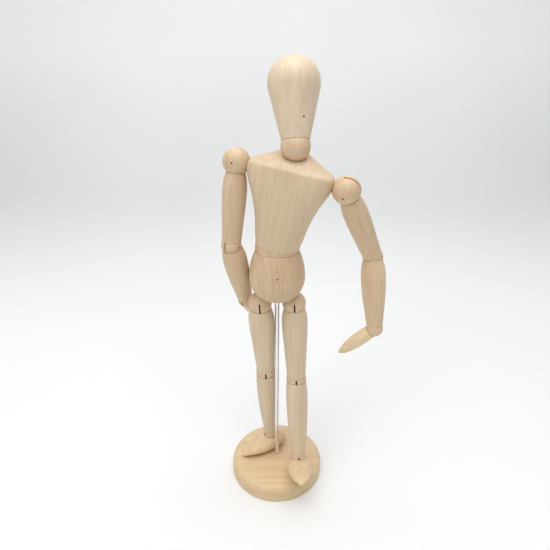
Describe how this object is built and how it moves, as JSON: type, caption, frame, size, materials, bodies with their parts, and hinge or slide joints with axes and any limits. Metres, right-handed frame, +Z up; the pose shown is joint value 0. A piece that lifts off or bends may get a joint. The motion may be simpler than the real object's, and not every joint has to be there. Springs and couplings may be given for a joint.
{
  "type": "artist mannequin",
  "caption": "Jointed wooden drawing figure with ball joints held by springs, standing on a steel rod and a round wooden base.",
  "frame": {"origin": "centre of the base's underside, on the axis of the steel rod", "axes": "+Z up along the rod; the figure's pelvis faces -Y and its left side is towards +X"},
  "size_m": [0.1067, 0.0792, 0.3006],
  "materials": {
    "beech": "sanded, clear matt lacquer",
    "ball_wood": "sanded, clear matt lacquer",
    "base_wood": "sanded, clear matt lacquer",
    "steel_rod": "bright drawn",
    "steel_wire": "drawn wire and strip"
  },
  "bodies": {
    "stand": {"base": "base_wood", "support_rod": "steel_rod"},
    "pelvis": {"pelvis": "beech", "pelvis_pin": "steel_wire", "hip_cross_spring": "steel_wire"},
    "waist_spring": {"waist_spring": "steel_wire"},
    "waist_ball": {"waist_ball": "ball_wood"},
    "chest": {"chest": "beech", "shoulder_cross_spring": "steel_wire"},
    "neck_spring": {"neck_spring": "steel_wire"},
    "neck_ball": {"neck_ball": "ball_wood"},
    "head": {"head": "beech", "head_pin": "steel_wire"},
    "shoulder_ball_left": {"shoulder_ball_left": "ball_wood", "shoulder_pin_left": "steel_wire"},
    "upper_arm_left": {"upper_arm_left": "beech", "upper_arm_spring_left": "steel_wire"},
    "elbow_ball_left": {"elbow_ball_left": "ball_wood", "elbow_pin_left": "steel_wire"},
    "forearm_left": {"forearm_left": "beech", "forearm_spring_left": "steel_wire"},
    "wrist_ball_left": {"wrist_ball_left": "ball_wood"},
    "hand_left": {"hand_left": "beech", "wrist_hinge_left": "steel_wire"},
    "hip_ball_left": {"hip_ball_left": "ball_wood", "hip_pin_left": "steel_wire"},
    "thigh_left": {"thigh_left": "beech", "thigh_spring_left": "steel_wire"},
    "knee_ball_left": {"knee_ball_left": "ball_wood", "knee_pin_left": "steel_wire"},
    "shin_left": {"shin_left": "beech", "shin_spring_left": "steel_wire"},
    "ankle_ball_left": {"ankle_ball_left": "ball_wood", "ankle_pin_left": "steel_wire"},
    "foot_left": {"foot_left": "beech", "foot_tongue_left": "steel_wire"},
    "shoulder_ball_right": {"shoulder_ball_right": "ball_wood", "shoulder_pin_right": "steel_wire"},
    "upper_arm_right": {"upper_arm_right": "beech", "upper_arm_spring_right": "steel_wire"},
    "elbow_ball_right": {"elbow_ball_right": "ball_wood", "elbow_pin_right": "steel_wire"},
    "forearm_right": {"forearm_right": "beech", "forearm_spring_right": "steel_wire"},
    "wrist_ball_right": {"wrist_ball_right": "ball_wood"},
    "hand_right": {"hand_right": "beech", "wrist_hinge_right": "steel_wire"},
    "hip_ball_right": {"hip_ball_right": "ball_wood", "hip_pin_right": "steel_wire"},
    "thigh_right": {"thigh_right": "beech", "thigh_spring_right": "steel_wire"},
    "knee_ball_right": {"knee_ball_right": "ball_wood", "knee_pin_right": "steel_wire"},
    "shin_right": {"shin_right": "beech", "shin_spring_right": "steel_wire"},
    "ankle_ball_right": {"ankle_ball_right": "ball_wood", "ankle_pin_right": "steel_wire"},
    "foot_right": {"foot_right": "beech", "foot_tongue_right": "steel_wire"}
  },
  "joints": [
    {"name": "figure_turn", "type": "hinge", "parent": "stand", "child": "pelvis", "pos_m": [0, 0, 0.1485], "axis": [0, 0, 1], "continuous": true},
    {"name": "waist_turn", "type": "hinge", "parent": "pelvis", "child": "waist_spring", "pos_m": [0, 0, 0.1895], "axis": [0, 0, 1], "range_deg": [-44, 22]},
    {"name": "waist_lean", "type": "hinge", "parent": "waist_spring", "child": "waist_ball", "pos_m": [0, 0, 0.1895], "axis": [0.2756, 0.9613, 0], "range_deg": [-2, 3], "deforming": ["waist_spring"]},
    {"name": "waist_bend", "type": "hinge", "parent": "waist_ball", "child": "chest", "pos_m": [0, 0, 0.1895], "axis": [0.9436, -0.2706, -0.1908], "range_deg": [-5, 7], "deforming": ["waist_spring"]},
    {"name": "neck_turn", "type": "hinge", "parent": "chest", "child": "neck_spring", "pos_m": [0.01032, -0.00885, 0.25306], "axis": [0.1587, -0.1362, 0.9779], "range_deg": [-120, 40], "deforming": ["neck_spring"]},
    {"name": "neck_tilt", "type": "hinge", "parent": "neck_spring", "child": "neck_ball", "pos_m": [0.01032, -0.00885, 0.25306], "axis": [-0.3839, 0.904, 0.1882], "range_deg": [-20, 20], "deforming": ["neck_spring"]},
    {"name": "neck_nod", "type": "hinge", "parent": "neck_ball", "child": "head", "pos_m": [0.01032, -0.00885, 0.25306], "axis": [0.9096, 0.4053, -0.0912], "range_deg": [-5, 59], "deforming": ["neck_spring"]},
    {"name": "shoulder_swing_left", "type": "hinge", "parent": "chest", "child": "shoulder_ball_left", "pos_m": [0.03962, -0.01567, 0.22946], "axis": [0.9436, -0.2706, -0.1908], "range_deg": [-179, 51]},
    {"name": "shoulder_raise_left", "type": "hinge", "parent": "shoulder_ball_left", "child": "upper_arm_left", "pos_m": [0.03962, -0.01567, 0.22946], "axis": [0.3264, 0.8568, 0.3993], "range_deg": [-90.5, 9]},
    {"name": "elbow_turn_left", "type": "hinge", "parent": "upper_arm_left", "child": "elbow_ball_left", "pos_m": [0.06148, -0.0026, 0.18355], "axis": [-0.4164, -0.2489, 0.8745], "range_deg": [-78.5, 101.5]},
    {"name": "elbow_bend_left", "type": "hinge", "parent": "elbow_ball_left", "child": "forearm_left", "pos_m": [0.06148, -0.0026, 0.18355], "axis": [0.7665, -0.6134, 0.1904], "range_deg": [-2.5, 71.5]},
    {"name": "wrist_turn_left", "type": "hinge", "parent": "forearm_left", "child": "wrist_ball_left", "pos_m": [0.06469, -0.01324, 0.13634], "axis": [-0.0662, 0.2194, 0.9734], "range_deg": [-10, 170]},
    {"name": "wrist_bend_left", "type": "hinge", "parent": "wrist_ball_left", "child": "hand_left", "pos_m": [0.06469, -0.01324, 0.13634], "axis": [-0.4961, -0.8537, 0.1587], "range_deg": [-8, 112]},
    {"name": "shoulder_swing_right", "type": "hinge", "parent": "chest", "child": "shoulder_ball_right", "pos_m": [-0.02454, 0.00273, 0.24244], "axis": [0.9436, -0.2706, -0.1908], "range_deg": [-3, 79]},
    {"name": "shoulder_raise_right", "type": "hinge", "parent": "shoulder_ball_right", "child": "upper_arm_right", "pos_m": [-0.02454, 0.00273, 0.24244], "axis": [0.2622, 0.9626, -0.0685], "range_deg": [0, 126.5]},
    {"name": "elbow_turn_right", "type": "hinge", "parent": "upper_arm_right", "child": "elbow_ball_right", "pos_m": [-0.02948, 0.00036, 0.19022], "axis": [0.0941, 0.0451, 0.9945], "range_deg": [-3, 110.5]},
    {"name": "elbow_bend_right", "type": "hinge", "parent": "elbow_ball_right", "child": "forearm_right", "pos_m": [-0.02948, 0.00036, 0.19022], "axis": [0.8078, -0.5874, -0.0498], "range_deg": [-60.5, 4]},
    {"name": "wrist_turn_right", "type": "hinge", "parent": "forearm_right", "child": "wrist_ball_right", "pos_m": [-0.02241, 0.01398, 0.14422], "axis": [-0.1458, -0.2808, 0.9486], "range_deg": [-66, 80]},
    {"name": "wrist_bend_right", "type": "hinge", "parent": "wrist_ball_right", "child": "hand_right", "pos_m": [-0.02241, 0.01398, 0.14422], "axis": [0.8947, -0.4466, 0.0053], "range_deg": [-84, 36]},
    {"name": "hip_spread_left", "type": "hinge", "parent": "pelvis", "child": "hip_ball_left", "pos_m": [0.0116, 0, 0.1485], "axis": [0, 1, 0], "range_deg": [-28, 4], "deforming": ["hip_cross_spring"]},
    {"name": "hip_swing_left", "type": "hinge", "parent": "hip_ball_left", "child": "thigh_left", "pos_m": [0.0116, 0, 0.1485], "axis": [0.999, 0, 0.0436], "range_deg": [-63.8, 61.2]},
    {"name": "knee_turn_left", "type": "hinge", "parent": "thigh_left", "child": "knee_ball_left", "pos_m": [0.01428, -0.00129, 0.08707], "axis": [-0.0436, 0.0209, 0.9988], "range_deg": [-58, 62]},
    {"name": "knee_bend_left", "type": "hinge", "parent": "knee_ball_left", "child": "shin_left", "pos_m": [0.01428, -0.00129, 0.08707], "axis": [0.9984, -0.0349, 0.0443], "range_deg": [-23.5, 48.5]},
    {"name": "ankle_turn_left", "type": "hinge", "parent": "shin_left", "child": "ankle_ball_left", "pos_m": [0.01648, -0.0162, 0.0259], "axis": [-0.0348, 0.2367, 0.971], "range_deg": [-79, 71]},
    {"name": "ankle_pitch_left", "type": "hinge", "parent": "ankle_ball_left", "child": "foot_left", "pos_m": [0.01648, -0.0162, 0.0259], "axis": [0.9991, 0.0329, 0.0278], "range_deg": [-3, 18]},
    {"name": "hip_spread_right", "type": "hinge", "parent": "pelvis", "child": "hip_ball_right", "pos_m": [-0.0116, 0, 0.1485], "axis": [0, 1, 0], "range_deg": [0, 32], "deforming": ["hip_cross_spring"]},
    {"name": "hip_swing_right", "type": "hinge", "parent": "hip_ball_right", "child": "thigh_right", "pos_m": [-0.0116, 0, 0.1485], "axis": [0.9984, 0, 0.0558], "range_deg": [0, 17]},
    {"name": "knee_turn_right", "type": "hinge", "parent": "thigh_right", "child": "knee_ball_right", "pos_m": [-0.00819, 0.00749, 0.08755], "axis": [-0.0554, -0.1219, 0.991], "range_deg": [-50, 3]},
    {"name": "knee_bend_right", "type": "hinge", "parent": "knee_ball_right", "child": "shin_right", "pos_m": [-0.00819, 0.00749, 0.08755], "axis": [0.9984, 0, 0.0558], "range_deg": [0, 40.5]},
    {"name": "ankle_turn_right", "type": "hinge", "parent": "shin_right", "child": "ankle_ball_right", "pos_m": [-0.00468, 0.01024, 0.02471], "axis": [-0.0558, -0.0436, 0.9975], "range_deg": [-17, 6]},
    {"name": "ankle_pitch_right", "type": "hinge", "parent": "ankle_ball_right", "child": "foot_right", "pos_m": [-0.00468, 0.01024, 0.02471], "axis": [0.5312, -0.8472, -0.0074], "range_deg": [-15, 1.5]}
  ]
}
